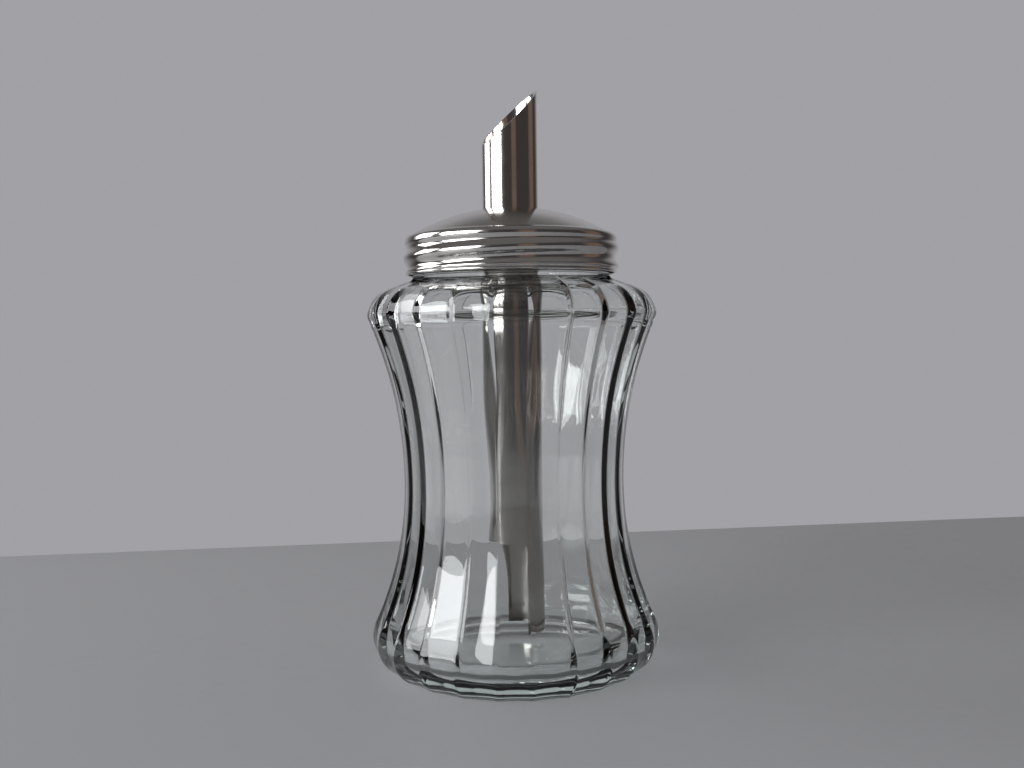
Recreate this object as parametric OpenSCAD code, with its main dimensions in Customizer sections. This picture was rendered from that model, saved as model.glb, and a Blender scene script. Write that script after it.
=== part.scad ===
// Sugar dispenser: a waisted, fluted glass jar with a pressed metal screw cap and
// one straight metal tube that doses the sugar. Sizes are in millimetres.
// The jar stands on z = 0 around the z axis. The tip of the tube's mouth is on its +x side,
// and so is the half of the tube that reaches down to the floor.

/* [Jar body] */
// Radius over the flute ridges at the waist
waist_r = 29.7; // [29:0.1:30.4]
// Height of the waist, the narrowest place
waist_z = 50.2; // [49:0.2:51]
// Radius of the curve that runs down from the waist to the base
lower_curve_r = 89; // [86:1:92]
// Radius of the curve that flares up from the waist to the shoulder
upper_curve_r = 109; // [106:1:112]
// Radius over the flute ridges at the shoulder edge
shoulder_r = 38.9; // [38.4:0.1:39.4]
// Radius of the rounding of the shoulder edge
edge_r = 6.3; // [5.5:0.1:7]
// Slope of the shoulder up to the neck, in degrees
shoulder_slope = 22; // [21:0.5:23]
// Radius of the round foot
bulge_r = 9.2; // [9:0.1:9.6]
// Number of flutes round the jar
flute_count = 24; // [20:1:28]
// Depth of a flute below its ridges, where the jar is widest
flute_depth = 0.6; // [0.45:0.05:0.8]
// Thickness of the glass wall at the waist
wall = 3; // [2.6:0.2:3.4]
// Thickness of the glass floor
floor_thickness = 5; // [4:0.5:6]

/* [Jar neck] */
// Height of the rim above the table
rim_z = 115; // [114.4:0.2:115.2]
// Outer radius of the neck
neck_r = 26.5; // [26:0.1:26.7]
// Radius of the opening through the neck
mouth_r = 23.6; // [22.8:0.2:24]
// Rise of the screw thread in one turn, on the glass and on the cap
thread_pitch = 5; // [4.6:0.1:5.4]
// Radius over the crest of the glass thread
thread_r = 27.3; // [27:0.1:27.4]

/* [Screw cap] */
// Thickness of the metal sheet
sheet = 0.35; // [0.3:0.05:0.4]
// Outer radius over the rolled ridges of the skirt
ridge_r = 29; // [28.9:0.1:29.2]
// Outer radius in the rolled grooves of the skirt
groove_r = 28; // [27.9:0.05:28.1]
// Height of the hem, the lowest edge of the cap
hem_z = 105.45; // [105:0.15:105.6]
// Radius of the sphere that the dome is part of
dome_r = 52.7; // [50:0.5:56]

/* [Tube] */
// Outer diameter of the tube
tube_d = 15; // [14:0.5:16]
// Thickness of the tube's wall
tube_wall = 0.6; // [0.5:0.1:0.8]
// Height of the tip of the open mouth
mouth_tip_z = 155; // [150:1:165]
// Slant of the cut across the mouth, in degrees from level
mouth_slant = 45; // [30:1:50]
// Height of the lower end above the table
foot_z = 8.8; // [7:0.2:12]
// Height up to which half of the tube is cut away, so that sugar can run in
notch_z = 33.8; // [28:0.2:40]

/* [Hidden] */

$fn = 96;
far = 200;
over = 0.1;

glass_tint = [0.86, 0.93, 0.9, 0.4];
rubber_white = [0.9, 0.9, 0.87];
bright_metal = [0.78, 0.78, 0.8];

// Points on an arc, as [radius, height] pairs
function arc(centre, r, from, to, steps) =
    [for (i = [0:steps]) let (a = from + (to - from) * i / steps) centre + r * [cos(a), sin(a)]];

// The points of a list without the first, which the stretch before it already has
function after_first(points) = [for (i = [1:len(points) - 1]) points[i]];

// 0 below the first height, 1 above the second, and a soft step between
function fade(z, from, to) = let (t = max(0, min(1, (z - from) / (to - from)))) t * t * (3 - 2 * t);

// Jar outline: round foot, lower curve, upper curve, shoulder edge, shoulder, each touching the next
bulge_z = 8.75;
lower_c = [waist_r + lower_curve_r, waist_z];
upper_c = [waist_r + upper_curve_r, waist_z];

bulge_c = [lower_c[0] - sqrt(pow(lower_curve_r + bulge_r, 2) - pow(waist_z - bulge_z, 2)), bulge_z];
bulge_end = atan2(waist_z - bulge_z, lower_c[0] - bulge_c[0]);
bulge_start = -asin(bulge_z / bulge_r);

edge_c = [shoulder_r - edge_r,
    waist_z + sqrt(pow(upper_curve_r + edge_r, 2) - pow(upper_c[0] - shoulder_r + edge_r, 2))];
edge_start = -atan2(edge_c[1] - waist_z, upper_c[0] - edge_c[0]);
edge_end = 90 - shoulder_slope;
edge_top = edge_c + edge_r * [cos(edge_end), sin(edge_end)];
shoulder_top_r = mouth_r + 0.7;
shoulder_top = [shoulder_top_r, edge_top[1] + (edge_top[0] - shoulder_top_r) * tan(shoulder_slope)];

// The glass is parted into wall and base on a level plane just over the floor
base_top = floor_thickness + 1;
part_angle = asin((base_top - bulge_z) / bulge_r);
base_line = arc(bulge_c, bulge_r, bulge_start, part_angle, 5);

curve_steps = 7;
wall_line = concat(
    arc(bulge_c, bulge_r, part_angle, 0, 2),
    after_first(arc(bulge_c, bulge_r, 0, bulge_end, 2)),
    after_first(arc(lower_c, lower_curve_r, 180 + bulge_end, 180, curve_steps)),
    after_first(arc(upper_c, upper_curve_r, 180, 180 + edge_start, curve_steps)),
    after_first(arc(edge_c, edge_r, edge_start, 0, 2)),
    after_first(arc(edge_c, edge_r, 0, edge_end, 4)),
    [shoulder_top]);

// A flute is deepest halfway between two ridges, and in proportion to the radius
flute_steps = 4;
around = flute_count * flute_steps;
function fluted(r, k) =
    let (t = (k % flute_steps) / flute_steps, s = 1 - flute_depth / shoulder_r * 4 * t * (1 - t)) r * s;

// Jar inside
inner_corner_r = 7;
inner_low_r = lower_curve_r + wall;
inner_up_r = upper_curve_r + wall;
inner_corner_z = floor_thickness + inner_corner_r;
inner_corner_c = [lower_c[0] - sqrt(pow(inner_low_r + inner_corner_r, 2) - pow(waist_z - inner_corner_z, 2)),
    inner_corner_z];
inner_corner_end = atan2(waist_z - inner_corner_z, lower_c[0] - inner_corner_c[0]);
inner_brow_r = 6;
inner_brow_z = 94;
inner_brow_c = [upper_c[0] - sqrt(pow(inner_up_r + inner_brow_r, 2) - pow(inner_brow_z - waist_z, 2)),
    inner_brow_z];
inner_brow_start = -atan2(inner_brow_z - waist_z, upper_c[0] - inner_brow_c[0]);
inner_brow_top = inner_brow_c + inner_brow_r * [cos(edge_end), sin(edge_end)];
punt_r = 28.4;
punt_h = 1.5;
punt_sphere_r = (pow(punt_r, 2) + pow(punt_h, 2)) / (2 * punt_h);
rim_round = 0.7;

// The crest of the thread passes this height on the +x side, and rises anticlockwise
thread_z = 107.5;
thread_turn = 380;
thread_root_r = neck_r - 0.3;
thread_root_h = 1.3;
thread_crest_h = 0.45;
thread_end_h = 0.05;
thread_step = 10;
thread_taper = 30;
function crest_z(angle) = thread_z + thread_pitch * angle / 360;

// Cap skirt: ridges and grooves follow the same helix as the glass thread, and fade out at both ends
skirt_steps = 72;
skirt_rows = 16;
skirt_top = 114.5;
ridges_top = 112.9;
tuck_z = 113.5;
tuck = 0.02;
skirt_lap = 0.15;
shoulder_lap = 0.2;
hem_bead_r = 0.35;
hem_mid_r = 28.1;
hem_neck = 0.5;
ridges_bottom = 1.7;
skirt_bottom = hem_z + hem_bead_r;
dome_edge_r = 27;
cap_shoulder_r = 1.5;
cap_side_r = dome_edge_r + cap_shoulder_r;
cap_crease_z = skirt_top + cap_shoulder_r;
dome_z = cap_crease_z - sqrt(pow(dome_r, 2) - pow(dome_edge_r, 2));
function skirt_r(angle, z) =
    let (low = fade(z, hem_z + hem_neck, hem_z + ridges_bottom), high = 1 - fade(z, ridges_top, skirt_top),
        wave = (ridge_r - groove_r) / 2 * cos(360 * (z - crest_z(angle)) / thread_pitch),
        middle = (ridge_r + groove_r) / 2)
    (hem_mid_r + sheet / 2) * (1 - low) + low * (middle * high + cap_side_r * (1 - high) + wave * high)
        - tuck * fade(z, tuck_z, skirt_top);

// Height of the dome's underside at a radius
function dome_under(r) = dome_z + sqrt(pow(dome_r - sheet, 2) - pow(r, 2));

seal_in_r = mouth_r + 0.3;
seal_out_r = 26.2;
seal_gap = 0.15;
tube_r = tube_d / 2;
notch_x = 0.8;
notch_corner_r = 3.5;
tube_fit = 0.02;
collar_fit = 0.05;
collar_r = tube_r + 3;
collar_sleeve_r = tube_r + 1.4;
collar_h = 5;
collar_flange_h = 1.6;
collar_gap = 0.3;
collar_chamfer = 0.4;
collar_top = dome_under(collar_r) - collar_gap;
collar_bottom = collar_top - collar_h;

// A closed skin over rings of points: quads along the side and a fan at each end
module ring_skin(rings) {
    n = len(rings[0]);
    rows = len(rings);
    points = [for (ring = rings) for (p = ring) p];
    sides = [for (j = [0:rows - 2]) for (i = [0:n - 1])
        let (a = j * n + i, b = j * n + (i + 1) % n)
        for (f = [[a, a + n, b], [b, a + n, b + n]]) f];
    bottom = [[for (i = [0:n - 1]) i]];
    top = [[for (i = [n - 1:-1:0]) (rows - 1) * n + i]];
    polyhedron(points = points, faces = concat(sides, bottom, top), convexity = 4);
}

module fluted_body(line) {
    ring_skin([for (p = line) [for (k = [0:around - 1])
        let (a = 360 * k / around, r = fluted(p[0], k)) [r * cos(a), r * sin(a), max(0, p[1])]]]);
}

module neck() {
    base = edge_top[1] - 2;
    rotate_extrude()
        polygon(concat([[0, base], [neck_r, base]],
            arc([neck_r - rim_round, rim_z - rim_round], rim_round, 0, 90, 4),
            [[0, rim_z]]));
}

module glass_thread() {
    function profile(i) =
        let (turn = min(i * thread_step, thread_turn - i * thread_step),
            low = thread_root_r + thread_end_h,
            crest = low + (thread_r - low) * fade(turn, 0, thread_taper))
        [[thread_root_r, -thread_root_h], [crest, -thread_crest_h],
            [crest, thread_crest_h], [thread_root_r, thread_root_h]];
    ring_skin([for (i = [0:thread_turn / thread_step]) [for (p = profile(i))
        let (a = i * thread_step) [p[0] * cos(a), p[0] * sin(a), p[1] + crest_z(a)]]]);
}

module jar_inside() {
    rotate_extrude()
        polygon(concat([[0, floor_thickness]],
            arc(inner_corner_c, inner_corner_r, -90, inner_corner_end, 8),
            after_first(arc(lower_c, inner_low_r, 180 + inner_corner_end, 180, curve_steps)),
            after_first(arc(upper_c, inner_up_r, 180, 180 + inner_brow_start, curve_steps)),
            after_first(arc(inner_brow_c, inner_brow_r, inner_brow_start, edge_end, 6)),
            [[mouth_r, inner_brow_top[1] + (inner_brow_top[0] - mouth_r) * tan(shoulder_slope)],
                [mouth_r, rim_z - rim_round], [mouth_r + rim_round, rim_z + over], [0, rim_z + over]]));
}

module glass_jar() {
    color(glass_tint)
        difference() {
            union() {
                fluted_body(wall_line);
                neck();
                glass_thread();
            }
            jar_inside();
        }
}

// The shallow dome under the base, which leaves only the outer ring on the table
module base_hollow() {
    rotate_extrude()
        polygon(concat([[0, -1], [punt_r, -1]],
            arc([0, punt_h - punt_sphere_r], punt_sphere_r, acos(punt_r / punt_sphere_r), 90, 6)));
}

// The thick floor of the jar
module glass_base() {
    color(glass_tint)
        difference() {
            fluted_body(base_line);
            jar_inside();
            base_hollow();
        }
}

module rim_seal() {
    color(rubber_white)
        rotate_extrude()
            polygon([[seal_in_r, rim_z], [seal_out_r, rim_z],
                [seal_out_r, dome_under(seal_out_r) - seal_gap],
                [seal_in_r, dome_under(seal_in_r) - seal_gap]]);
}

module cap_skirt() {
    rows = [for (j = [0:skirt_rows]) skirt_bottom + (skirt_top + skirt_lap - skirt_bottom) * j / skirt_rows];
    function at(i, z, inward) = let (a = 360 * i / skirt_steps, r = skirt_r(a, z) - inward)
        [r * cos(a), r * sin(a), z];
    outside = [for (z = rows) [for (i = [0:skirt_steps - 1]) at(i, z, 0)]];
    inside = [for (z = rows) let (inward = sheet - 2 * tuck * fade(z, tuck_z, skirt_top))
        [for (i = [0:skirt_steps - 1]) at(i, z, inward)]];
    n = skirt_steps;
    half = n * (skirt_rows + 1);
    points = concat([for (ring = outside) for (p = ring) p], [for (ring = inside) for (p = ring) p]);
    walls = [for (j = [0:skirt_rows - 1]) for (i = [0:n - 1])
        let (a = j * n + i, b = j * n + (i + 1) % n)
        for (f = [[a, a + n, b], [b, a + n, b + n],
            [half + a, half + b, half + a + n], [half + b, half + b + n, half + a + n]]) f];
    ends = [for (i = [0:n - 1])
        let (a = i, b = (i + 1) % n, c = skirt_rows * n + i, d = skirt_rows * n + (i + 1) % n)
        for (f = [[a, b, half + a], [b, half + b, half + a],
            [c, half + c, d], [d, half + c, half + d]]) f];
    polyhedron(points = points, faces = concat(walls, ends), convexity = 6);
}

module cap_hem() {
    rotate_extrude() translate([hem_mid_r, hem_z + hem_bead_r]) circle(r = hem_bead_r);
}

module cap_shoulder() {
    centre = [dome_edge_r, skirt_top];
    rotate_extrude()
        polygon(concat(arc(centre, cap_shoulder_r, 90, 0, 6),
            [[cap_side_r, skirt_top - shoulder_lap], [cap_side_r - sheet, skirt_top - shoulder_lap]],
            arc(centre, cap_shoulder_r - sheet, 0, 90, 6)));
}

module dome() {
    intersection() {
        translate([0, 0, dome_z])
            difference() {
                sphere(r = dome_r);
                sphere(r = dome_r - sheet);
            }
        translate([0, 0, skirt_top])
            difference() {
                cylinder(r = dome_edge_r, h = dome_r);
                translate([0, 0, -1]) cylinder(r = tube_r + tube_fit, h = dome_r + 2);
            }
    }
}

module screw_cap() {
    color(bright_metal) {
        cap_skirt();
        cap_hem();
        cap_shoulder();
        dome();
    }
}

// Half the tube is cut away below notch_z, up to a round corner
module foot_notch() {
    low = foot_z - 1;
    rotate([90, 0, 0]) translate([0, 0, -tube_d])
        linear_extrude(2 * tube_d)
            polygon(concat([[-tube_d, low], [notch_x, low]],
                arc([notch_x - notch_corner_r, notch_z - notch_corner_r], notch_corner_r, 0, 90, 8),
                [[-tube_d, notch_z]]));
}

module dosing_tube() {
    color(bright_metal)
        difference() {
            translate([0, 0, foot_z]) cylinder(r = tube_r, h = mouth_tip_z - foot_z);
            translate([0, 0, foot_z - 1]) cylinder(r = tube_r - tube_wall, h = mouth_tip_z - foot_z + 2);
            translate([tube_r, 0, mouth_tip_z]) rotate([0, -mouth_slant, 0])
                translate([-far / 2, -far / 2, 0]) cube([far, far, far]);
            foot_notch();
        }
}

module tube_collar() {
    color(bright_metal)
        rotate_extrude()
            polygon([[tube_r + collar_fit, collar_bottom], [collar_sleeve_r - collar_chamfer, collar_bottom],
                [collar_sleeve_r, collar_bottom + collar_chamfer],
                [collar_sleeve_r, collar_top - collar_flange_h],
                [collar_r, collar_top - collar_flange_h], [collar_r, collar_top],
                [tube_r + collar_fit, collar_top]]);
}

glass_jar();
glass_base();
rim_seal();
screw_cap();
dosing_tube();
tube_collar();
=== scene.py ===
"""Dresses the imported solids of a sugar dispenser: fluted jar, rim seal, screw cap, collar and dosing tube.

Every surface is computed with numpy from the sizes in the dataclasses below, in millimetres. It stands in the
frame of the solids: z runs up along the jar's axis, and the tip of the tube's slanted mouth is on +x.
"""

import logging
from dataclasses import dataclass, field
from enum import Enum
from math import acos, asin, atan2, cos, degrees, pi, radians, sin, sqrt, tan
from typing import Any

import bpy
import numpy as np
from mathutils import Matrix, Vector

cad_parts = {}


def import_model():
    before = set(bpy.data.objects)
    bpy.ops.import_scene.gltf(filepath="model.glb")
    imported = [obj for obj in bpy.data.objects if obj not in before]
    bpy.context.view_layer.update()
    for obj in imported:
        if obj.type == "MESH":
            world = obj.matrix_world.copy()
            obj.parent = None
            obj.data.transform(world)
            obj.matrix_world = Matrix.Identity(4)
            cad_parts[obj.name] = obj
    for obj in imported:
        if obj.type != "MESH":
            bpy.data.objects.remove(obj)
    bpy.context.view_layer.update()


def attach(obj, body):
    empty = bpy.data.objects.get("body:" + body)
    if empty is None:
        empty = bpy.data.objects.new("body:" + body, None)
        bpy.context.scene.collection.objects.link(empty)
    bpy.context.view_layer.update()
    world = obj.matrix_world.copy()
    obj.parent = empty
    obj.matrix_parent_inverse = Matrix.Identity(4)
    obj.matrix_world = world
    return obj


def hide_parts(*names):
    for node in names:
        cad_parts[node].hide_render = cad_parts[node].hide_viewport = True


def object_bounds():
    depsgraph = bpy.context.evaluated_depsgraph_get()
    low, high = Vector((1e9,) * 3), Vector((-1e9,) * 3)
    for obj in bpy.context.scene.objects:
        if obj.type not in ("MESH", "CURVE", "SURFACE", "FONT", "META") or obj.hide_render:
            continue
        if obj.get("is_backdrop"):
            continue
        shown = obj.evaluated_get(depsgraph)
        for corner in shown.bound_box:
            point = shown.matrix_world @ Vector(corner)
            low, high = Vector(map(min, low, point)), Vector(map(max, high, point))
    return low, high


MM = 0.001
# Distance in millimetres below which two points of an outline are one
SAME_POINT = 1e-4
LOG = logging.getLogger("sugar_dispenser")

Colour = tuple[float, float, float]
Point = tuple[float, float]
Array = np.ndarray
Material, Piece = bpy.types.Material, bpy.types.Object
Socket, Tree = bpy.types.NodeSocket, bpy.types.NodeTree


class Ends(Enum):
    """How the first and last rows of a surface close."""

    LOOP = "the last row joins the first, as on a ring"
    POLES = "the first and last rows shrink to one point each on the axis"


class Lay(Enum):
    """Which way the polishing lines run. Each value scales their noise: a small factor draws it out that way."""

    ALONG = (1.0, 1.0, 0.03)
    AROUND = (0.12, 0.12, 1.0)


def arc(centre: Point, radius: float, start: float, end: float, steps: int) -> Array:
    """Points on a circle, spaced evenly in angle.

    Args:
        centre: Radius and height of the circle's centre.
        radius: Radius of the circle.
        start: First angle in degrees, 0 pointing away from the axis and 90 up.
        end: Last angle in degrees.
        steps: Number of equal steps between the two angles.

    Returns:
        An array of steps + 1 rows of radius and height: centre + radius * (cos a, sin a).
    """
    a = np.radians(np.linspace(start, end, steps + 1))
    return np.array(centre) + radius * np.stack([np.cos(a), np.sin(a)], axis=1)


def line(start: Point, end: Point, steps: int) -> Array:
    """Points on a straight line, spaced evenly.

    Args:
        start: Radius and height of the first point.
        end: Radius and height of the last point.
        steps: Number of equal steps between them.

    Returns:
        An array of steps + 1 rows of radius and height.
    """
    t = np.linspace(0.0, 1.0, steps + 1)[:, None]
    return np.array(start) * (1 - t) + np.array(end) * t


def fade(value: Array | float, low: float, high: float) -> Array:
    """Soft step: 0 below low, 1 above high and 3t^2 - 2t^3 between, where t is the fraction of the way.

    Args:
        value: Values to grade.
        low: Value at which the step starts.
        high: Value at which it ends.

    Returns:
        An array of grades from 0 to 1.
    """
    t = np.clip((np.asarray(value, dtype=float) - low) / (high - low), 0.0, 1.0)
    return t * t * (3 - 2 * t)


def join(*stretches: Array) -> Array:
    """Joins stretches of an outline and drops each point that repeats the one before it.

    Args:
        stretches: Arrays of radius and height, in order along the outline.

    Returns:
        One array of radius and height.
    """
    points = np.concatenate(stretches)
    step = np.linalg.norm(np.diff(points, axis=0), axis=1)
    return points[np.concatenate([[True], step > SAME_POINT])]


def columns(count: int, *extra: Array) -> Array:
    """Column angles: evenly spaced ones, and extra ones where the surface needs them.

    Args:
        count: Number of even columns.
        extra: Arrays of further angles in degrees.

    Returns:
        Sorted angles in radians.
    """
    return np.radians(np.sort(np.concatenate([np.arange(count) * 360.0 / count, *extra])))


def around(radii: Array, heights: Array, angles: Array) -> Array:
    """Places grids of radius and height round the axis: x = r cos a, y = r sin a.

    Args:
        radii: Radius of each grid point, or of each row.
        heights: Height of each grid point, or of each row.
        angles: Angle of each column in radians.

    Returns:
        A grid of points.
    """
    return np.stack(np.broadcast_arrays(radii * np.cos(angles), radii * np.sin(angles), heights), axis=-1)


def surface(name: str, grid: Array, ends: Ends, crease: float = 40.0) -> Piece:
    """Makes a closed mesh from a grid whose columns run round the axis.

    Each grid point makes a quad with its neighbours in the next column and the next row. The order of the four
    points makes the faces look away from the axis where the rows rise, and towards it where they fall.

    Args:
        name: Name of the object and its mesh.
        grid: Points in millimetres, rows by columns by three.
        ends: How the rows close.
        crease: Angle in degrees over which an edge is drawn sharp.

    Returns:
        The new object, linked to the scene.
    """
    rows, cols = grid.shape[:2]
    index = np.arange(rows * cols).reshape(rows, cols)
    points = grid.reshape(-1, 3)
    if ends is Ends.POLES:
        index = np.concatenate([np.zeros((1, cols), int), index[1:-1] - cols + 1,
                                np.full((1, cols), (rows - 2) * cols + 1)])
        points = np.concatenate([grid[0].mean(axis=0)[None], grid[1:-1].reshape(-1, 3),
                                 grid[-1].mean(axis=0)[None]])
    else:
        index = np.concatenate([index, index[:1]])
    right = np.roll(index, -1, axis=1)
    quads = np.stack([index[:-1], right[:-1], right[1:], index[1:]], axis=-1)
    if ends is Ends.POLES:
        first, last, middle = quads[0][:, [0, 2, 3]], quads[-1][:, [0, 1, 2]], quads[1:-1].reshape(-1, 4)
        corners = np.concatenate([first.ravel(), middle.ravel(), last.ravel()])
        sizes = np.concatenate([np.full(cols, 3), np.full(len(middle), 4), np.full(cols, 3)])
    else:
        corners = quads.ravel()
        sizes = np.full(quads.size // 4, 4)
    mesh = bpy.data.meshes.new(name)
    mesh.vertices.add(len(points))
    mesh.vertices.foreach_set("co", (points * MM).astype(np.float32).ravel())
    mesh.loops.add(len(corners))
    mesh.loops.foreach_set("vertex_index", corners.astype(np.int32))
    mesh.polygons.add(len(sizes))
    mesh.polygons.foreach_set("loop_start", (np.cumsum(sizes) - sizes).astype(np.int32))
    mesh.update(calc_edges=True)
    mesh.validate()
    mesh.shade_smooth()
    mesh.set_sharp_from_angle(angle=radians(crease))
    made = bpy.data.objects.new(name, mesh)
    bpy.context.scene.collection.objects.link(made)
    return made


def dress(piece: Piece, material: Material, body: str, slot: str, *nodes: str) -> None:
    """Gives a finished piece its material and its place on the object.

    Args:
        piece: The finished piece.
        material: Its material.
        body: The body that it moves with.
        slot: Name of a material slot in the record; not used.
        nodes: The solids that it stands for.
    """
    piece.data.materials.append(material)
    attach(piece, body)
    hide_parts(*nodes)
    LOG.info("%s: %d faces, moves with %s", piece.name, len(piece.data.polygons), body)


class Graph:
    """A node tree under construction, with short calls to add and link nodes."""

    def __init__(self, tree: Tree) -> None:
        """Starts on an empty tree.

        Args:
            tree: The tree of a material, a world or a group.
        """
        self.tree = tree
        tree.nodes.clear()

    def add(self, kind: str, settings: dict[str, Any] | None = None, **inputs: Any) -> bpy.types.Node:
        """Adds a node, sets its properties and fills its inputs.

        Args:
            kind: Name of the node's type.
            settings: Properties of the node, by name.
            inputs: Values or output sockets by input name, with _ for a space; i0 is the first input.

        Returns:
            The new node.
        """
        node = self.tree.nodes.new(kind)
        for name, value in (settings or {}).items():
            setattr(node, name, value)
        for name, value in inputs.items():
            socket = node.inputs[int(name[1:])] if name[1:].isdigit() else node.inputs[name.replace("_", " ")]
            if isinstance(value, Socket):
                self.tree.links.new(value, socket)
            else:
                socket.default_value = value
        return node

    def math(self, operation: str, first: Any, second: Any = 0.0) -> Socket:
        """Adds a math node and returns its result.

        Args:
            operation: Name of the operation.
            first: First value or socket.
            second: Second value or socket.

        Returns:
            The result's socket.
        """
        return self.add("ShaderNodeMath", {"operation": operation}, i0=first, i1=second).outputs[0]

    def grade(self, value: Any, low: float, high: float, start: float = 0.0, end: float = 1.0) -> Socket:
        """Maps a range of values on to another, smoothly and clamped.

        Args:
            value: Value or socket to map.
            low: Value that maps to start.
            high: Value that maps to end.
            start: Result at low.
            end: Result at high.

        Returns:
            The result's socket.
        """
        node = self.add("ShaderNodeMapRange", {"interpolation_type": "SMOOTHSTEP"}, Value=value, From_Min=low,
                        From_Max=high, To_Min=start, To_Max=end)
        return node.outputs[0]

    def mix(self, share: Any, first: Any, second: Any, blend: str = "MIX") -> Socket:
        """Mixes two colours.

        Args:
            share: How much of the second colour shows, as a value or socket.
            first: First colour or socket.
            second: Second colour or socket.
            blend: Name of the blend type.

        Returns:
            The result's socket.
        """
        first, second = ((*colour, 1.0) if isinstance(colour, tuple) else colour for colour in (first, second))
        node = self.add("ShaderNodeMix", {"data_type": "RGBA", "blend_type": blend}, i0=share, i6=first, i7=second)
        return node.outputs[2]

    def noise(self, place: Any, scale: Any, detail: float, **inputs: float) -> Socket:
        """Adds a noise texture.

        Args:
            place: Socket with the coordinates.
            scale: Scale as a value or socket.
            detail: Number of finer layers.
            inputs: Other inputs by name.

        Returns:
            The noise value's socket.
        """
        return self.add("ShaderNodeTexNoise", Vector=place, Scale=scale, Detail=detail, **inputs).outputs[0]

    def effect(self, group: Tree, **inputs: Any) -> Any:
        """Adds one of the shared node groups.

        Args:
            group: The group.
            inputs: Values or sockets by input name.

        Returns:
            The outputs of the group.
        """
        return self.add("ShaderNodeGroup", {"node_tree": group}, **inputs).outputs


def new_group(name: str, inputs: dict[str, Any], outputs: dict[str, str]) -> tuple[Graph, Any, Any]:
    """Starts a shader node group with named sockets.

    Args:
        name: Name of the group.
        inputs: Default value of each input by name; None makes a vector socket.
        outputs: Socket type of each output by name.

    Returns:
        The graph of the group, what goes into it and what comes out of it.
    """
    tree = bpy.data.node_groups.new(name, "ShaderNodeTree")
    for key, value in inputs.items():
        kind = "NodeSocketVector" if value is None else "NodeSocketFloat"
        socket = tree.interface.new_socket(key, in_out="INPUT", socket_type=kind)
        if value is not None:
            socket.default_value = value
    for key, kind in outputs.items():
        tree.interface.new_socket(key, in_out="OUTPUT", socket_type=kind)
    graph = Graph(tree)
    return graph, graph.add("NodeGroupInput").outputs, graph.add("NodeGroupOutput").inputs


class Effects:
    """The shader node groups that the materials share.

    Each pair of numbers gives the noise values between which a mask rises from 0 to 1.
    """

    CREST: Point = (0.52, 0.74)
    PATCH: Point = (0.35, 0.7)
    PATCH_SCALE = 60.0
    WIDE_CLOUD: Point = (0.38, 0.68)
    SMALL_CLOUD: Point = (0.3, 0.75)
    SMALL_CLOUD_RATIO = 6.0
    FINE_RIPPLE_RATIO = 5.0

    def __init__(self) -> None:
        """Builds every group once."""
        self.lines = self._polish_lines()
        self.haze = self._handling_haze()
        self.ripple = self._glass_ripple()

    @staticmethod
    def _polish_lines() -> Tree:
        """Fine polishing lines: noise that is stretched by the coordinates, cut to its thin crests.

        Returns:
            The group, with Lines (a mask) and Height.
        """
        graph, given, out = new_group("polish_lines", {"Coordinates": None, "Scale": 900.0, "Share": 0.3},
                                      {"Lines": "NodeSocketFloat", "Height": "NodeSocketFloat"})
        fine = graph.noise(given["Coordinates"], given["Scale"], 3.0, Roughness=0.6)
        patch = graph.noise(given["Coordinates"], Effects.PATCH_SCALE, 1.0)
        share = graph.math("MULTIPLY", graph.grade(patch, *Effects.PATCH), given["Share"])
        lines = graph.math("MULTIPLY", graph.grade(fine, *Effects.CREST), share)
        graph.tree.links.new(lines, out["Lines"])
        graph.tree.links.new(graph.math("SUBTRACT", fine, lines), out["Height"])
        return graph.tree

    @staticmethod
    def _handling_haze() -> Tree:
        """Soft patches that handling leaves: two sizes of cloud multiplied, so that clean areas stay between.

        Returns:
            The group, with Haze (a mask).
        """
        graph, given, out = new_group("handling_haze", {"Coordinates": None, "Scale": 40.0, "Amount": 0.5},
                                      {"Haze": "NodeSocketFloat"})
        smaller = graph.math("MULTIPLY", given["Scale"], Effects.SMALL_CLOUD_RATIO)
        wide = graph.noise(given["Coordinates"], given["Scale"], 2.0, Distortion=0.6)
        small = graph.noise(given["Coordinates"], smaller, 4.0)
        cloud = graph.math("MULTIPLY", graph.grade(wide, *Effects.WIDE_CLOUD),
                           graph.grade(small, *Effects.SMALL_CLOUD))
        graph.tree.links.new(graph.math("MULTIPLY", cloud, given["Amount"]), out["Haze"])
        return graph.tree

    @staticmethod
    def _glass_ripple() -> Tree:
        """The slow waviness of pressed glass: wide noise stretched along the axis, with a little fine noise.

        Returns:
            The group, with Height.
        """
        graph, given, out = new_group("glass_ripple", {"Coordinates": None, "Scale": 90.0, "Fine": 0.15},
                                      {"Height": "NodeSocketFloat"})
        finer = graph.math("MULTIPLY", given["Scale"], Effects.FINE_RIPPLE_RATIO)
        wide = graph.noise(given["Coordinates"], given["Scale"], 1.0)
        fine = graph.noise(given["Coordinates"], finer, 2.0)
        height = graph.math("ADD", wide, graph.math("MULTIPLY", fine, given["Fine"]))
        graph.tree.links.new(height, out["Height"])
        return graph.tree


def new_material(name: str) -> tuple[Material, Graph, Socket]:
    """Starts a material with nothing in its node tree but the object's coordinates.

    Args:
        name: Name of the material.

    Returns:
        The material, the graph of its nodes and the coordinates' socket.
    """
    material = bpy.data.materials.new(name)
    material.use_nodes = True
    graph = Graph(material.node_tree)
    return material, graph, graph.add("ShaderNodeTexCoord").outputs["Object"]


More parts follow.
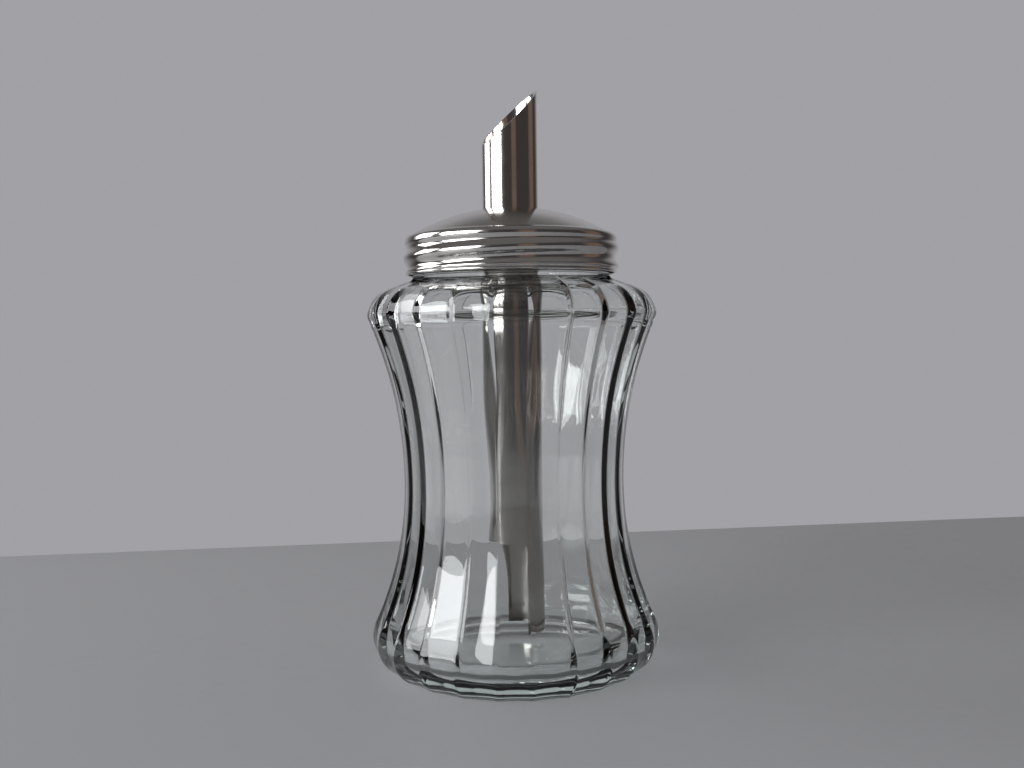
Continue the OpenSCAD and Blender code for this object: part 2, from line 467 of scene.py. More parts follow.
@dataclass(frozen=True)
class ClearGlass:
    """Pressed glass: clear, a little wavy, and faintly green where it is thick."""

    tint: Colour = (0.985, 0.995, 0.99)
    ior: float = 1.52
    roughness: float = 0.0
    ripple: float = 0.01
    ripple_scale: float = 70.0
    ripple_stretch: float = 0.35
    ripple_depth: float = 0.001
    light_passed: float = 0.8
    depth_tint: Colour = (0.6, 0.9, 0.78)
    depth_density: float = 6.0

    def build(self, effects: Effects) -> Material:
        """Makes the material. It lets most of a lamp's light through, as clear glass does, so its shadow is pale.

        Args:
            effects: The shared node groups.

        Returns:
            The glass material.
        """
        material, graph, place = new_material("clear_pressed_glass")
        stretched = graph.add("ShaderNodeMapping", Vector=place, Scale=(1.0, 1.0, self.ripple_stretch)).outputs[0]
        ripple = graph.effect(effects.ripple, Coordinates=stretched, Scale=self.ripple_scale)
        bump = graph.add("ShaderNodeBump", Strength=self.ripple, Distance=self.ripple_depth, Height=ripple["Height"])
        shadow = graph.add("ShaderNodeLightPath").outputs["Is Shadow Ray"]
        solid = graph.math("SUBTRACT", 1.0, graph.math("MULTIPLY", shadow, self.light_passed))
        glass = graph.add("ShaderNodeBsdfPrincipled", Base_Color=(*self.tint, 1.0), Roughness=self.roughness,
                          IOR=self.ior, Transmission_Weight=1.0, Alpha=solid, Normal=bump.outputs[0])
        body = graph.add("ShaderNodeVolumeAbsorption", Color=(*self.depth_tint, 1.0), Density=self.depth_density)
        graph.add("ShaderNodeOutputMaterial", Surface=glass.outputs[0], Volume=body.outputs[0])
        return material


@dataclass(frozen=True)
class BrightMetal:
    """Polished or plated metal with fine lines, a duller haze where hands touch it, and painted shade where it is
    seen through glass.
    """

    name: str
    colour: Colour
    dull: Colour
    lay: Lay
    roughness: float
    haze_roughness: float = 0.2
    haze: float = 0.6
    haze_scale: float = 45.0
    lines: float = 0.35
    line_scale: float = 1400.0
    line_depth: float = 0.0002
    bump: float = 0.015
    # Share of the colour that is left where the metal is seen through glass: a painted shade.
    painted_shade_behind_glass: float = 1.0

    def build(self, effects: Effects) -> Material:
        """Makes the material. Seen through glass its colour is darkened: painted shade that stands in for the window
        light that reaches it less there.

        Args:
            effects: The shared node groups.

        Returns:
            The metal material.
        """
        material, graph, place = new_material(self.name)
        drawn = graph.add("ShaderNodeMapping", Vector=place, Scale=self.lay.value).outputs[0]
        lines = graph.effect(effects.lines, Coordinates=drawn, Scale=self.line_scale, Share=self.lines)
        haze = graph.effect(effects.haze, Coordinates=place, Scale=self.haze_scale, Amount=self.haze)
        worn = graph.math("ADD", haze["Haze"], lines["Lines"])
        colour = graph.mix(graph.grade(worn, 0.0, 1.0), self.colour, self.dull)
        # Painted shade: where the ray has passed through glass, the colour is multiplied down, standing in for the
        # window light that the glass turns away.
        passed = graph.add("ShaderNodeLightPath").outputs["Transmission Depth"]
        shade = graph.grade(passed, 0.5, 1.5, 1.0, self.painted_shade_behind_glass)
        rough = graph.grade(worn, 0.0, 1.0, self.roughness, self.haze_roughness)
        bump = graph.add("ShaderNodeBump", Strength=self.bump, Distance=self.line_depth, Height=lines["Height"])
        metal = graph.add("ShaderNodeBsdfPrincipled", Base_Color=graph.mix(1.0, colour, shade, "MULTIPLY"),
                          Metallic=1.0, Roughness=rough, Normal=bump.outputs[0])
        graph.add("ShaderNodeOutputMaterial", Surface=metal.outputs[0])
        return material


@dataclass(frozen=True)
class SealRubber:
    """White food-safe rubber, matt, with a fine moulded grain."""

    colour: Colour = (0.8, 0.79, 0.75)
    shade: Colour = (0.68, 0.67, 0.62)
    roughness: float = 0.55
    haze_scale: float = 120.0
    grain_scale: float = 1500.0
    grain_fine: float = 0.5
    grain: float = 0.2
    grain_depth: float = 0.0001

    def build(self, effects: Effects) -> Material:
        """Makes the material.

        Args:
            effects: The shared node groups.

        Returns:
            The rubber material.
        """
        material, graph, place = new_material("seal_rubber")
        haze = graph.effect(effects.haze, Coordinates=place, Scale=self.haze_scale, Amount=1.0)
        grain = graph.effect(effects.ripple, Coordinates=place, Scale=self.grain_scale, Fine=self.grain_fine)
        bump = graph.add("ShaderNodeBump", Strength=self.grain, Distance=self.grain_depth, Height=grain["Height"])
        rubber = graph.add("ShaderNodeBsdfPrincipled", Base_Color=graph.mix(haze["Haze"], self.colour, self.shade),
                           Roughness=self.roughness, Normal=bump.outputs[0])
        graph.add("ShaderNodeOutputMaterial", Surface=rubber.outputs[0])
        return material


@dataclass(frozen=True)
class Thread:
    """The right-handed screw thread that the glass and the cap share."""

    pitch: float = 5.0
    start: float = 107.5
    turn: float = 380.0
    taper: float = 30.0
    flank: Point = (0.35, 1.3)

    def crest(self, angle: Array) -> Array:
        """Height of the crest: start on the +x side, plus one pitch for each turn anticlockwise.

        Args:
            angle: Angle round the axis in degrees, counted on past a full turn.

        Returns:
            Height of the crest at each angle.
        """
        return self.start + self.pitch * angle / 360.0


@dataclass
class GlassJar:
    """The waisted jar: flutes outside and inside, a hollow base and a threaded neck."""

    thread: Thread
    waist_r: float = 29.7
    waist_z: float = 50.2
    lower_curve_r: float = 89.0
    upper_curve_r: float = 111.5
    bulge_r: float = 9.2
    bulge_z: float = 8.75
    shoulder_r: float = 38.9
    edge_r: float = 2.6
    edge_lean: float = 14.0
    brow_r: float = 8.6
    slope: float = 20.8
    flutes: int = 24
    flute_depth: float = 0.6
    flute_steps: int = 15
    flute_fade: Point = (0.9, 3.2)
    wall: float = 3.0
    floor: float = 5.0
    corner_r: float = 7.0
    inner_brow_r: float = 6.0
    inner_brow_z: float = 94.0
    inner_fade: Point = (96.0, 102.0)
    floor_fade: float = 3.0
    neck_r: float = 26.5
    mouth_r: float = 23.6
    mouth_bevel: Point = (0.5, 0.8)
    rim_z: float = 115.0
    rim_round: float = 0.7
    neck_fillet: float = 1.2
    thread_r: float = 27.3
    thread_zone: float = 11.0
    punt_r: float = 28.4
    punt_h: float = 1.5
    seam_h: float = 0.18
    seam_w: float = 0.25
    seam_columns: tuple[float, ...] = (-0.75, -0.5, -0.25, 0.25, 0.5, 0.75)
    follow: float = 1.0
    wobble: float = 0.015
    box_gap: float = 0.001

    def centres(self) -> tuple[Point, Point]:
        """The centres of the curves below and above the waist.

        Returns:
            Radius and height of both.
        """
        return ((self.waist_r + self.lower_curve_r, self.waist_z), (self.waist_r + self.upper_curve_r, self.waist_z))

    def outside(self) -> tuple[Array, Array]:
        """The ridges' outline from the middle of the base up to the rim, and how strong the flutes are on it.

        The round foot, the two curves of the waist and the shoulder's edge are circles that touch each other, so
        each centre follows from the distance between centres being the sum of the radii. The brow above the edge
        is a larger circle that touches the edge from inside, so its centre is the difference of the radii away.

        Returns:
            The outline, and one weight from 0 to 1 for each of its points.
        """
        low, up = self.centres()
        reach = sqrt((self.lower_curve_r + self.bulge_r) ** 2 - (self.waist_z - self.bulge_z) ** 2)
        bulge = (low[0] - reach, self.bulge_z)
        bulge_end = degrees(atan2(self.waist_z - self.bulge_z, reach))
        bulge_start = -degrees(asin(self.bulge_z / self.bulge_r))
        gap = up[0] - self.shoulder_r + self.edge_r
        rise = sqrt((self.upper_curve_r + self.edge_r) ** 2 - gap**2)
        edge = (self.shoulder_r - self.edge_r, self.waist_z + rise)
        edge_start = -degrees(atan2(rise, gap))
        lean, inward = radians(self.edge_lean), self.brow_r - self.edge_r
        brow = (edge[0] - inward * cos(lean), edge[1] - inward * sin(lean))
        tilt = radians(self.slope)
        edge_top = (brow[0] + self.brow_r * sin(tilt), brow[1] + self.brow_r * cos(tilt))
        foot = bulge[0] + self.bulge_r * cos(radians(bulge_start))
        dome = (self.punt_r**2 + self.punt_h**2) / (2 * self.punt_h)
        hollow = degrees(asin(self.punt_r / dome))
        fillet_r = self.neck_r + self.neck_fillet
        slope_z = edge_top[1] + (edge_top[0] - self.neck_r) * tan(tilt)
        drop = self.neck_fillet * (1 / cos(tilt) - tan(tilt))
        fillet = (fillet_r, slope_z + drop)
        fillet_start = (fillet[0] - self.neck_fillet * sin(tilt), fillet[1] - self.neck_fillet * cos(tilt))
        rim = (self.neck_r - self.rim_round, self.rim_z - self.rim_round)
        base = join(arc((0.0, self.punt_h - dome), dome, 90, 90 - hollow, 8),
                    line((self.punt_r, 0.0), (foot, 0.0), 4))
        body = join(arc(bulge, self.bulge_r, bulge_start, 0, 14),
                    arc(bulge, self.bulge_r, 0, bulge_end, 5),
                    arc(low, self.lower_curve_r, 180 + bulge_end, 180, 22),
                    arc(up, self.upper_curve_r, 180, 180 + edge_start, 24),
                    arc(edge, self.edge_r, edge_start, 0, 5),
                    arc(edge, self.edge_r, 0, self.edge_lean, 4),
                    arc(brow, self.brow_r, self.edge_lean, 90 - self.slope, 12),
                    line(edge_top, fillet_start, 10))
        neck = join(arc(fillet, self.neck_fillet, 270 - self.slope, 180, 4),
                    line((self.neck_r, fillet[1]), (self.neck_r, rim[1]), 26),
                    arc(rim, self.rim_round, 0, 90, 5))
        outline = join(base, body, neck)
        starts, full = (self.neck_r + away for away in self.flute_fade)
        return outline, fade(outline[:, 0], self.punt_r, foot) * fade(outline[:, 0], starts, full)

    def inside(self) -> Array:
        """The outline of the cavity from the rim down to the middle of the floor, one wall inside the ridges.

        Returns:
            The outline.
        """
        low, up = self.centres()
        low_r, up_r = self.lower_curve_r + self.wall, self.upper_curve_r + self.wall
        corner_z = self.floor + self.corner_r
        reach = sqrt((low_r + self.corner_r) ** 2 - (self.waist_z - corner_z) ** 2)
        corner = (low[0] - reach, corner_z)
        corner_end = degrees(atan2(self.waist_z - corner_z, reach))
        rise = self.inner_brow_z - self.waist_z
        gap = sqrt((up_r + self.inner_brow_r) ** 2 - rise**2)
        brow = (up[0] - gap, self.inner_brow_z)
        brow_start = -degrees(atan2(rise, gap))
        tilt = radians(self.slope)
        brow_top = (brow[0] + self.inner_brow_r * sin(tilt), brow[1] + self.inner_brow_r * cos(tilt))
        mouth_z = brow_top[1] + (brow_top[0] - self.mouth_r) * tan(tilt)
        rim = (self.mouth_r + self.rim_round, self.rim_z - self.rim_round)
        return join(arc(rim, self.rim_round, 90, 180, 5),
                    line((self.mouth_r, rim[1]), (self.mouth_r, mouth_z + self.mouth_bevel[1]), 6),
                    line((self.mouth_r + self.mouth_bevel[0], mouth_z), brow_top, 7),
                    arc(brow, self.inner_brow_r, 90 - self.slope, brow_start, 10),
                    arc(up, up_r, 180 + brow_start, 180, 18),
                    arc(low, low_r, 180, 180 + corner_end, 16),
                    arc(corner, self.corner_r, corner_end, -90, 14),
                    line((corner[0], self.floor), (0.0, self.floor), 8))

    def flute(self, angles: Array) -> Array:
        """Depth of the flutes: 4t(1 - t) across each one, where t runs from one ridge to the next.

        Args:
            angles: Column angles in radians.

        Returns:
            A grade from 0 on a ridge to 1 in the middle of a flute.
        """
        t = (angles * self.flutes / (2 * pi)) % 1.0
        return 4 * t * (1 - t)

    def thread_bump(self, heights: Array, angles: Array) -> Array:
        """Height of the glass thread over the neck: a rounded rib that follows the helix and fades at both ends.

        Args:
            heights: Height of each outline point, as a column.
            angles: Column angles in radians.

        Returns:
            Outward shift of each grid point.
        """
        turns = np.degrees(angles)[None, :, None] + 360.0 * np.arange(2)
        along = np.minimum(turns, self.thread.turn - turns)
        full = (self.thread_r - self.neck_r) * fade(along, 0.0, self.thread.taper)
        away = np.abs(heights[:, None, None] - self.thread.crest(turns))
        return (full * (1 - fade(away, *self.thread.flank))).max(axis=2)

    def seam_bump(self, radii: Array, angles: Array) -> Array:
        """Height of the mould seams: a narrow bell curve across each seam, exp(-(distance / width)^2).

        Args:
            radii: Radius of each grid point.
            angles: Column angles in radians.

        Returns:
            Outward shift of each grid point.
        """
        off = (np.degrees(angles) + 90.0) % 180.0
        arc_off = np.radians(np.minimum(off, 180.0 - off)) * radii
        return self.seam_h * np.exp(-((arc_off / self.seam_w) ** 2))

    def build(self, material: Material) -> Piece:
        """Builds the jar as one closed surface, from the hollow of the base over the rim to the floor.

        Outside, the radius is the outline's, less the flutes in proportion to it, plus the thread and the seams.
        Inside, the wall follows the flutes, and a faint wave stands for the glass's uneven thickness:
        sin(3a + 1.3) sin(z / 9) + 0.6 sin(7a + z / 14), where a is the angle and z the height.

        Args:
            material: The glass.

        Returns:
            The jar.
        """
        beside = np.array(self.seam_columns)
        angles = columns(self.flutes * self.flute_steps, 90 + beside, 270 + beside)
        outline, weight = self.outside()
        cut = 1 - self.flute_depth / self.shoulder_r * weight[:, None] * self.flute(angles)
        radii = outline[:, :1] * cut
        on_neck = (outline[:, 1] > self.rim_z - self.thread_zone) & (outline[:, 0] < self.neck_r + 0.01)
        radii += self.thread_bump(outline[:, 1], angles) * on_neck[:, None]
        seams = self.seam_bump(radii, angles) * weight[:, None]
        radii = np.minimum(radii + seams, self.shoulder_r - self.box_gap)
        inner = self.inside()
        side = fade(inner[:, 1:], self.floor, self.floor + self.floor_fade)
        side = side * (1 - fade(inner[:, 1:], *self.inner_fade))
        wave = np.sin(3 * angles + 1.3) * np.sin(inner[:, 1:] / 9.0) + 0.6 * np.sin(7 * angles + inner[:, 1:] / 14.0)
        inner_r = inner[:, :1] * (1 - self.follow * self.flute_depth / self.shoulder_r * side * self.flute(angles))
        inner_r = inner_r + self.wobble * side * wave
        grid = around(np.concatenate([radii, inner_r]), np.concatenate([outline, inner])[:, 1:], angles)
        jar = surface("jar_glass", grid, Ends.POLES, 60.0)
        dress(jar, material, "jar", "clear_glass", "glass_jar", "glass_base")
        return jar


@dataclass
class ScrewCap:
    """The pressed cap: a dome with a hole for the tube, a round shoulder, a rolled thread and a curled hem."""

    thread: Thread
    sheet: float = 0.35
    ridge_r: float = 29.0
    groove_r: float = 28.0
    hem_z: float = 105.45
    hem_r: float = 0.35
    hem_mid: float = 28.1
    hem_lap: float = 0.28
    hem_curl: Point = (125.0, 415.0)
    hem_fade: Point = (0.5, 1.7)
    ridges_top: float = 112.9
    dome_r: float = 52.7
    dome_edge: float = 27.0
    round_r: float = 1.5
    skirt_top: float = 114.5
    hole_r: float = 7.52
    inner_rows: int = 34
    outer_rows: int = 68
    columns: int = 288

    def dome_z(self) -> float:
        """Finds the centre of the dome's sphere, so that the dome ends level with the shoulder.

        Returns:
            Height of the centre.
        """
        return self.skirt_top + self.round_r - sqrt(self.dome_r**2 - self.dome_edge**2)

    def dome(self, inset: float, steps: int) -> Array:
        """The dome's outline from its edge in to the hole, on a sphere round the dome's centre.

        Args:
            inset: Distance of the surface below the outside.
            steps: Number of steps.

        Returns:
            The outline.
        """
        r = self.dome_r - inset
        edge = degrees(acos(self.dome_edge / r))
        hole = degrees(acos(self.hole_r / r))
        return arc((0.0, self.dome_z()), r, edge, hole, steps)

    def skirt(self, heights: Array, angles: Array) -> Array:
        """Outer radius of the skirt: a cosine wave in height that follows the thread and fades at both ends.

        Args:
            heights: Heights, one per row.
            angles: Column angles in radians.

        Returns:
            A grid of radii.
        """
        z = heights[:, None]
        low = fade(z, *(self.hem_z + above for above in self.hem_fade))
        high = 1 - fade(z, self.ridges_top, self.skirt_top)
        crest = self.thread.crest(np.degrees(angles))
        wave = (self.ridge_r - self.groove_r) / 2 * np.cos(2 * pi * (z - crest) / self.thread.pitch)
        middle = (self.ridge_r + self.groove_r) / 2
        top = self.dome_edge + self.round_r
        return (self.hem_mid + self.sheet / 2) * (1 - low) + low * (middle * high + top * (1 - high) + wave * high)

    def build(self, material: Material) -> Piece:
        """Builds the cap as one closed sheet, from the hole down the inside, round the hem and up the outside.

        Args:
            material: The metal.

        Returns:
            The cap.
        """
        angles = np.arange(self.columns) * 2 * pi / self.columns
        corner = (self.dome_edge, self.skirt_top)
        hem_top = self.hem_z + self.hem_r + self.hem_lap
        inner_z = np.linspace(self.skirt_top, hem_top, self.inner_rows)
        outer_z = np.linspace(hem_top, self.skirt_top, self.outer_rows)
        under = join(self.dome(self.sheet, 12)[::-1], arc(corner, self.round_r - self.sheet, 90, 0, 6)[1:-1])
        over = join(arc(corner, self.round_r, 0, 90, 10)[1:], self.dome(0.0, 36)[1:])
        curl = arc((self.hem_mid, self.hem_z + self.hem_r), self.hem_r, *self.hem_curl, 16)
        inside = around(self.skirt(inner_z, angles) - self.sheet, inner_z[:, None], angles)
        outside = around(self.skirt(outer_z, angles), outer_z[:, None], angles)
        grid = np.concatenate([around(*np.hsplit(under, 2), angles), inside,
                               around(*np.hsplit(curl, 2), angles), outside,
                               around(*np.hsplit(over, 2), angles)])
        cap = surface("cap_pressing", grid, Ends.LOOP, 50.0)
        dress(cap, material, "lid", "cap_metal", "screw_cap")
        return cap


@dataclass
class DosingTube:
    """The straight tube: a slanted mouth with its tip on +x, and a lower end with the -x half cut away."""

    radius: float = 7.5
    wall: float = 0.6
    mouth_tip: float = 155.0
    mouth_slant: float = 45.0
    foot: float = 8.8
    notch_top: float = 33.8
    notch_x: float = 0.8
    notch_corner: float = 3.5
    notch_columns: tuple[float, ...] = (-0.03, 0.03, 0.4, 1.2)
    edge: float = 0.08
    rows: int = 40
    end_rows: float = 0.01
    columns: int = 144

    def lower_end(self, angles: Array) -> Array:
        """Height of the lower end: the foot on the +x side, and the notch's top with a round corner elsewhere.

        In the corner the height is top - corner + sqrt(corner^2 - d^2), where d runs from 0 where the corner starts
        to its full radius at the notch's upright side.

        Args:
            angles: Column angles in radians.

        Returns:
            Height of each column's lower end.
        """
        x = self.radius * np.cos(angles)
        into = np.clip(x - (self.notch_x - self.notch_corner), 0.0, self.notch_corner)
        cut = self.notch_top - self.notch_corner + np.sqrt(self.notch_corner**2 - into**2)
        return np.where(x > self.notch_x, self.foot, cut)

    def side(self, radius: float, share: Array, angles: Array) -> Array:
        """A cylinder between the two ends: each column's height runs straight from its lower end to the mouth.

        Args:
            radius: Radius of the cylinder.
            share: How far up each row is, from 0 at the lower end to 1 at the mouth.
            angles: Column angles in radians.

        Returns:
            A grid of points.
        """
        top = self.mouth_tip - (self.radius - radius * np.cos(angles)) * tan(radians(self.mouth_slant))
        bottom = self.lower_end(angles)
        heights = bottom + (top - bottom) * share[:, None]
        return around(np.full_like(heights, radius), heights, angles)

    def build(self, material: Material) -> Piece:
        """Builds the tube as one closed wall, up the outside and down the bore, with its cut edges eased.

        Args:
            material: The metal.

        Returns:
            The tube.
        """
        beside = degrees(acos(self.notch_x / self.radius)) + np.array(self.notch_columns)
        angles = columns(self.columns, beside, 360.0 - beside)
        eased = self.edge / (self.mouth_tip - self.foot)
        outer = np.concatenate([[eased], np.linspace(self.end_rows, 1 - self.end_rows, self.rows), [1 - eased]])
        bore = self.radius - self.wall
        grid = np.concatenate([
            self.side(self.radius, outer, angles),
            self.side(self.radius - self.edge, np.array([1.0]), angles),
            self.side(bore + self.edge, np.array([1.0]), angles),
            self.side(bore, outer[::-1], angles),
            self.side(bore + self.edge, np.array([0.0]), angles),
            self.side(self.radius - self.edge, np.array([0.0]), angles)])
        tube = surface("tube_polished", grid, Ends.LOOP, 30.0)
        dress(tube, material, "lid", "tube_metal", "dosing_tube")
        return tube


@dataclass
class InnerRings:
    """The two rings inside the lid: the seal on the glass rim and the collar that holds the tube."""

    cap: ScrewCap
    jar: GlassJar
    tube: DosingTube
    seal_in: float = 23.9
    seal_out: float = 26.2
    seal_gap: float = 0.15
    seal_ease: float = 0.12
    collar_fit: float = 0.05
    collar_gap: float = 0.3
    collar_ease: float = 0.2
    flange: float = 3.0
    sleeve: float = 1.4
    flange_h: float = 1.6
    collar_h: float = 5.0
    columns: int = 96

    def under(self, radius: float) -> float:
        """Finds the dome's underside.

        Args:
            radius: Distance from the axis.

        Returns:
            Height of the underside there.
        """
        return self.cap.dome_z() + sqrt((self.cap.dome_r - self.cap.sheet) ** 2 - radius**2)

    def ring(self, name: str, outline: list[Point], ease: float) -> Piece:
        """Turns a closed outline into a ring and eases each corner with two points at a fixed distance from it.

        Args:
            name: Name of the piece.
            outline: Corners in order, rising on the outside.
            ease: Distance of the two points from each corner.

        Returns:
            The ring.
        """
        corners = np.array(outline)
        ahead, behind = np.roll(corners, -1, axis=0) - corners, np.roll(corners, 1, axis=0) - corners
        step = [v / np.linalg.norm(v, axis=1)[:, None] * ease for v in (behind, ahead)]
        eased = np.stack([corners + step[0], corners + step[1]], axis=1).reshape(-1, 2)
        angles = np.arange(self.columns) * 2 * pi / self.columns
        return surface(name, around(*np.hsplit(eased, 2), angles), Ends.LOOP, 35.0)

    def build(self, rubber: Material, metal: Material) -> list[Piece]:
        """Builds the seal and the collar.

        Args:
            rubber: Material of the seal.
            metal: Material of the collar.

        Returns:
            The two rings.
        """
        rim = self.jar.rim_z
        seal = self.ring("seal_ring", [(self.seal_in, rim), (self.seal_out, rim),
                                       (self.seal_out, self.under(self.seal_out) - self.seal_gap),
                                       (self.seal_in, self.under(self.seal_in) - self.seal_gap)], self.seal_ease)
        dress(seal, rubber, "seal", "seal_rubber", "rim_seal")
        bore, out = self.tube.radius + self.collar_fit, self.tube.radius + self.flange
        sleeve = self.tube.radius + self.sleeve
        top = self.under(out) - self.collar_gap
        low, step = top - self.collar_h, top - self.flange_h
        collar = self.ring("collar_ring", [(bore, low), (sleeve, low), (sleeve, step), (out, step), (out, top),
                                           (bore, top)], self.collar_ease)
        dress(collar, metal, "collar", "collar_metal", "tube_collar")
        return [seal, collar]


@dataclass
class Panel:
    """One soft light panel, placed by direction and size as seen from the object, 0 being at the camera."""

    azimuth: float
    elevation: float
    width: float
    height: float
    radiance: float
    colour: Colour = (0.97, 0.98, 1.0)
    distance: float = 1.3

    def build(self, name: str, camera: float, aim: Vector) -> None:
        """Hangs the panel so that it faces the aim point.

        Args:
            name: Name of the lamp.
            camera: Direction of the camera from the object, in degrees.
            aim: Point that it faces, in metres.
        """
        a, e = radians(camera + self.azimuth), radians(self.elevation)
        away = Vector((sin(a) * cos(e), -cos(a) * cos(e), sin(e)))
        lamp = bpy.data.lights.new(name, "AREA")
        lamp.shape = "RECTANGLE"
        lamp.size = 2 * self.distance * tan(radians(self.width / 2))
        lamp.size_y = 2 * self.distance * tan(radians(self.height / 2))
        lamp.energy = self.radiance * pi * lamp.size * lamp.size_y
        lamp.color = self.colour
        hung = bpy.data.objects.new(name, lamp)
        hung.location = aim + away * self.distance
        hung.rotation_euler = away.to_track_quat("Z", "Y").to_euler()
        bpy.context.scene.collection.objects.link(hung)


@dataclass(frozen=True)
class Room:
    """What metal and glass mirror: a dim room in front, a pale wall behind, a grey ceiling and two warm strips.

    Directions are angles in degrees to the right of the camera, as seen from the object, and heights are the sine
    of the angle above level. through, edges and inside are shares of the room's colours.
    """

    fill: Colour = (0.45, 0.45, 0.46)
    pale: Colour = (0.36, 0.355, 0.375)
    front: Colour = (0.045, 0.04, 0.04)
    ceiling: Colour = (0.13, 0.125, 0.125)
    warm: Colour = (0.15, 0.105, 0.085)
    wall_from: float = 125.0
    wall_full: float = 160.0
    strips: tuple[Point, Point] = ((10.0, 24.0), (88.0, 110.0))
    strip_soft: float = 4.0
    strip_heights: tuple[float, float, float] = (-0.2, 0.4, 0.2)
    ceiling_heights: Point = (0.45, 0.8)
    two_walls: float = 3.5
    through: float = 0.3
    edges: float = 0.3
    inside: float = 0.7

    @staticmethod
    def band(graph: Graph, value: Any, low: float, high: float, soft: float) -> Any:
        """One between low and high, falling softly to zero outside.

        Args:
            graph: The graph to build in.
            value: The value to test.
            low: Start of the band.
            high: End of the band.
            soft: Width of each soft edge.

        Returns:
            The socket with the band.
        """
        rise = graph.grade(value, low - soft, low)
        fall = graph.grade(value, high, high + soft)
        return graph.math("SUBTRACT", rise, fall)

    def build(self, azimuth: float) -> None:
        """Makes the world.

        A camera ray sees the pale surroundings, and so, for the most part, does one that has only passed through
        glass. A ray that metal has mirrored sees the room. One that was mirrored behind the glass wall or inside it
        sees some of each, and everything else gets the even fill light.

        Args:
            azimuth: Direction of the camera from the object, in degrees.
        """
        world = bpy.data.worlds.new("room")
        bpy.context.scene.world = world
        world.use_nodes = True
        graph = Graph(world.node_tree)
        way = graph.add("ShaderNodeTexCoord").outputs["Generated"]
        faced = graph.add("ShaderNodeMapping", Vector=way, Rotation=(0.0, 0.0, radians(-azimuth))).outputs[0]
        axis = graph.add("ShaderNodeSeparateXYZ", Vector=faced).outputs
        turn = graph.math("ARCTAN2", axis["X"], graph.math("MULTIPLY", axis["Y"], -1.0))
        right = graph.math("MULTIPLY", turn, 180.0 / pi)
        aside = graph.math("ABSOLUTE", right)
        wall = graph.grade(aside, self.wall_from, self.wall_full)
        colour = graph.mix(wall, self.front, self.pale)
        level = self.band(graph, axis["Z"], *self.strip_heights)
        for low, high in self.strips:
            strip = graph.math("MULTIPLY", self.band(graph, right, low, high, self.strip_soft), level)
            colour = graph.mix(strip, colour, self.warm)
        colour = graph.mix(graph.grade(axis["Z"], *self.ceiling_heights), colour, self.ceiling)
        path = graph.add("ShaderNodeLightPath").outputs
        passed = graph.math("MINIMUM", path["Glossy Depth"], path["Is Transmission Ray"])
        behind = graph.math("GREATER_THAN", path["Transmission Depth"], self.two_walls)
        share = graph.grade(behind, 0.0, 1.0, self.edges, self.inside)
        mirrored = graph.math("MAXIMUM", path["Is Glossy Ray"], graph.math("MULTIPLY", passed, share))
        shown = graph.math("MAXIMUM", path["Is Camera Ray"], path["Is Transmission Ray"])
        clear = graph.math("MULTIPLY", path["Is Transmission Ray"], self.through)
        seen = graph.mix(shown, self.fill, graph.mix(clear, self.pale, colour))
        final = graph.mix(mirrored, seen, colour)
        sky = graph.add("ShaderNodeBackground", Color=final, Strength=1.0)
        graph.add("ShaderNodeOutputWorld", Surface=sky.outputs[0])


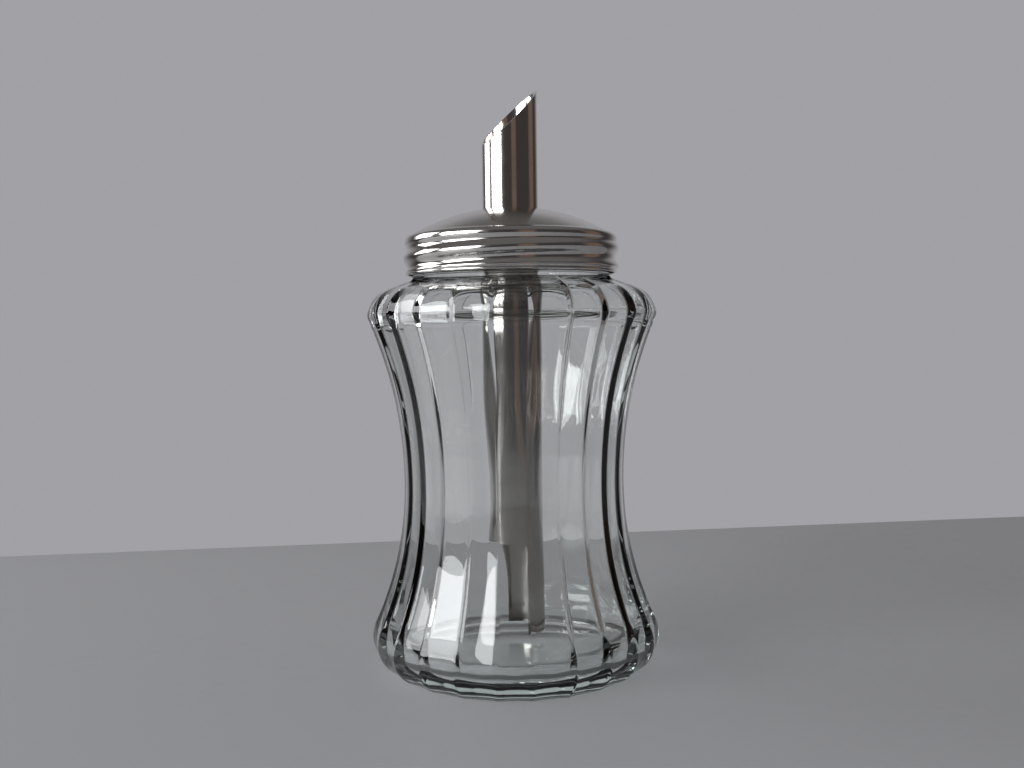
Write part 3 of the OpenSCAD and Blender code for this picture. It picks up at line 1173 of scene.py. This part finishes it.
@dataclass
class Studio:
    """Pale table, plain surroundings, window-like panels and the camera at the photograph's angle."""

    azimuth: float = -22.0
    distance: float = 281.0
    eye: float = 89.5
    aside: float = -0.2
    pitch: float = 2.75
    roll: float = 0.8
    focal_px: float = 1036.0
    frame_px: float = 1024.0
    table_size: Point = (1300.0, 640.0)
    table_back: float = 178.0
    table_turn: float = 7.4
    table_thick: float = 25.0
    table_edge: float = 6.0
    table_points: int = 160
    table_power: float = 0.2
    table_haze: Point = (30.0, 0.3)
    table_rough: Point = (0.5, 0.7)
    table_colour: Colour = (0.28, 0.28, 0.29)
    room: Room = field(default_factory=Room)
    panels: list[Panel] = field(default_factory=lambda: [
        Panel(azimuth=-57.0, elevation=19.0, width=42.0, height=30.0, radiance=8.0),
        Panel(azimuth=-106.0, elevation=19.0, width=28.0, height=30.0, radiance=4.0),
    ])

    def camera(self) -> None:
        """Places the camera: on the object's axis line in plan, pitched down and rolled by the measured angles."""
        a, p, roll = (radians(v) for v in (self.azimuth, self.pitch, self.roll))
        right = Vector((cos(a), sin(a), 0.0))
        ahead = Vector((-sin(a) * cos(p), cos(a) * cos(p), -sin(p)))
        up = right.cross(ahead)
        across = right * cos(roll) - up * sin(roll)
        upright = right * sin(roll) + up * cos(roll)
        data = bpy.data.cameras.new("view")
        data.sensor_width = 36.0
        data.lens = self.focal_px / self.frame_px * 36.0
        data.clip_start = 0.01
        view = bpy.data.objects.new("view", data)
        turn = Matrix((across, upright, -ahead)).transposed().to_4x4()
        place = Vector((sin(a) * self.distance, -cos(a) * self.distance, self.eye)) + right * self.aside
        view.matrix_world = Matrix.Translation(place * MM) @ turn
        bpy.context.scene.collection.objects.link(view)
        bpy.context.scene.camera = view

    def table(self, effects: Effects) -> None:
        """Lays a pale table top under the object, with rounded corners and edges.

        In plan it is a superellipse: x = a sgn(cos t) |cos t|^p and y = b sgn(sin t) |sin t|^p, which is a
        rectangle with round corners where the power p is small. The edge profile is carried round it.

        Args:
            effects: The shared node groups.
        """
        t = (np.arange(self.table_points) + 0.5) * 2 * pi / self.table_points
        half = np.array(self.table_size) / 2
        plan = np.stack([np.sign(v) * np.abs(v) ** self.table_power for v in (np.cos(t), np.sin(t))])
        edge = self.table_edge
        outline = join(line((0.0, -self.table_thick), (half[1], -self.table_thick), 3),
                       arc((half[1] - edge, -edge), edge, 0, 90, 8), line((half[1] - edge, 0.0), (0.0, 0.0), 8))
        reach = half[:, None] - (half[1] - outline[:, 0])
        reach = np.maximum(reach * (outline[:, 0] > 1.0), 0.0)
        flat = reach[:, :, None] * plan[:, None, :]
        turn = radians(self.azimuth + self.table_turn)
        ahead = flat[1] + (self.table_back - half[1])
        grid = np.stack([flat[0] * cos(turn) - ahead * sin(turn),
                         flat[0] * sin(turn) + ahead * cos(turn),
                         np.repeat(outline[:, 1:], len(t), axis=1)], axis=-1)
        top = surface("table_top", grid, Ends.POLES)
        material, graph, place = new_material("pale_table")
        scale, amount = self.table_haze
        haze = graph.effect(effects.haze, Coordinates=place, Scale=scale, Amount=amount)
        rough = graph.grade(haze["Haze"], 0.0, 1.0, *self.table_rough)
        board = graph.add("ShaderNodeBsdfPrincipled", Base_Color=(*self.table_colour, 1.0), Roughness=rough)
        graph.add("ShaderNodeOutputMaterial", Surface=board.outputs[0])
        top.data.materials.append(material)
        top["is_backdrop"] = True

    def build(self, effects: Effects) -> None:
        """Sets up everything that isn't the object.

        Args:
            effects: The shared node groups.
        """
        self.camera()
        self.table(effects)
        self.room.build(self.azimuth)
        for number, panel in enumerate(self.panels):
            panel.build(f"soft_panel_{number}", self.azimuth, Vector((0.0, 0.0, self.eye * MM)))
        bpy.context.scene.view_settings.view_transform = "Standard"


def corners() -> list[list[float]]:
    """The lowest and highest corner of what is shown, as plain lists."""
    return [[round(float(v), 6) for v in corner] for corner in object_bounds()]


def main() -> None:
    """Loads the solids, builds the pieces that stand for them, and sets up the studio."""
    logging.basicConfig(level=logging.INFO, format="%(name)s: %(message)s")
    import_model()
    effects = Effects()
    plated = BrightMetal("plated_sheet", (0.74, 0.72, 0.69), (0.58, 0.55, 0.52), Lay.AROUND, roughness=0.13)
    # The polished tube gets painted shade behind the glass: its colour is multiplied by 0.6 there.
    polished = BrightMetal("polished_tube", (0.76, 0.73, 0.69), (0.62, 0.59, 0.55), Lay.ALONG, roughness=0.12,
                           painted_shade_behind_glass=0.6)
    turned_metal = BrightMetal("turned_metal", (0.7, 0.69, 0.66), (0.5, 0.49, 0.47), Lay.AROUND, roughness=0.2)
    thread = Thread()
    jar, cap, tube = GlassJar(thread), ScrewCap(thread), DosingTube()
    jar.build(ClearGlass().build(effects))
    cap.build(plated.build(effects))
    tube.build(polished.build(effects))
    InnerRings(cap, jar, tube).build(SealRubber().build(effects), turned_metal.build(effects))
    Studio().build(effects)


if __name__ == "__main__":
    main()
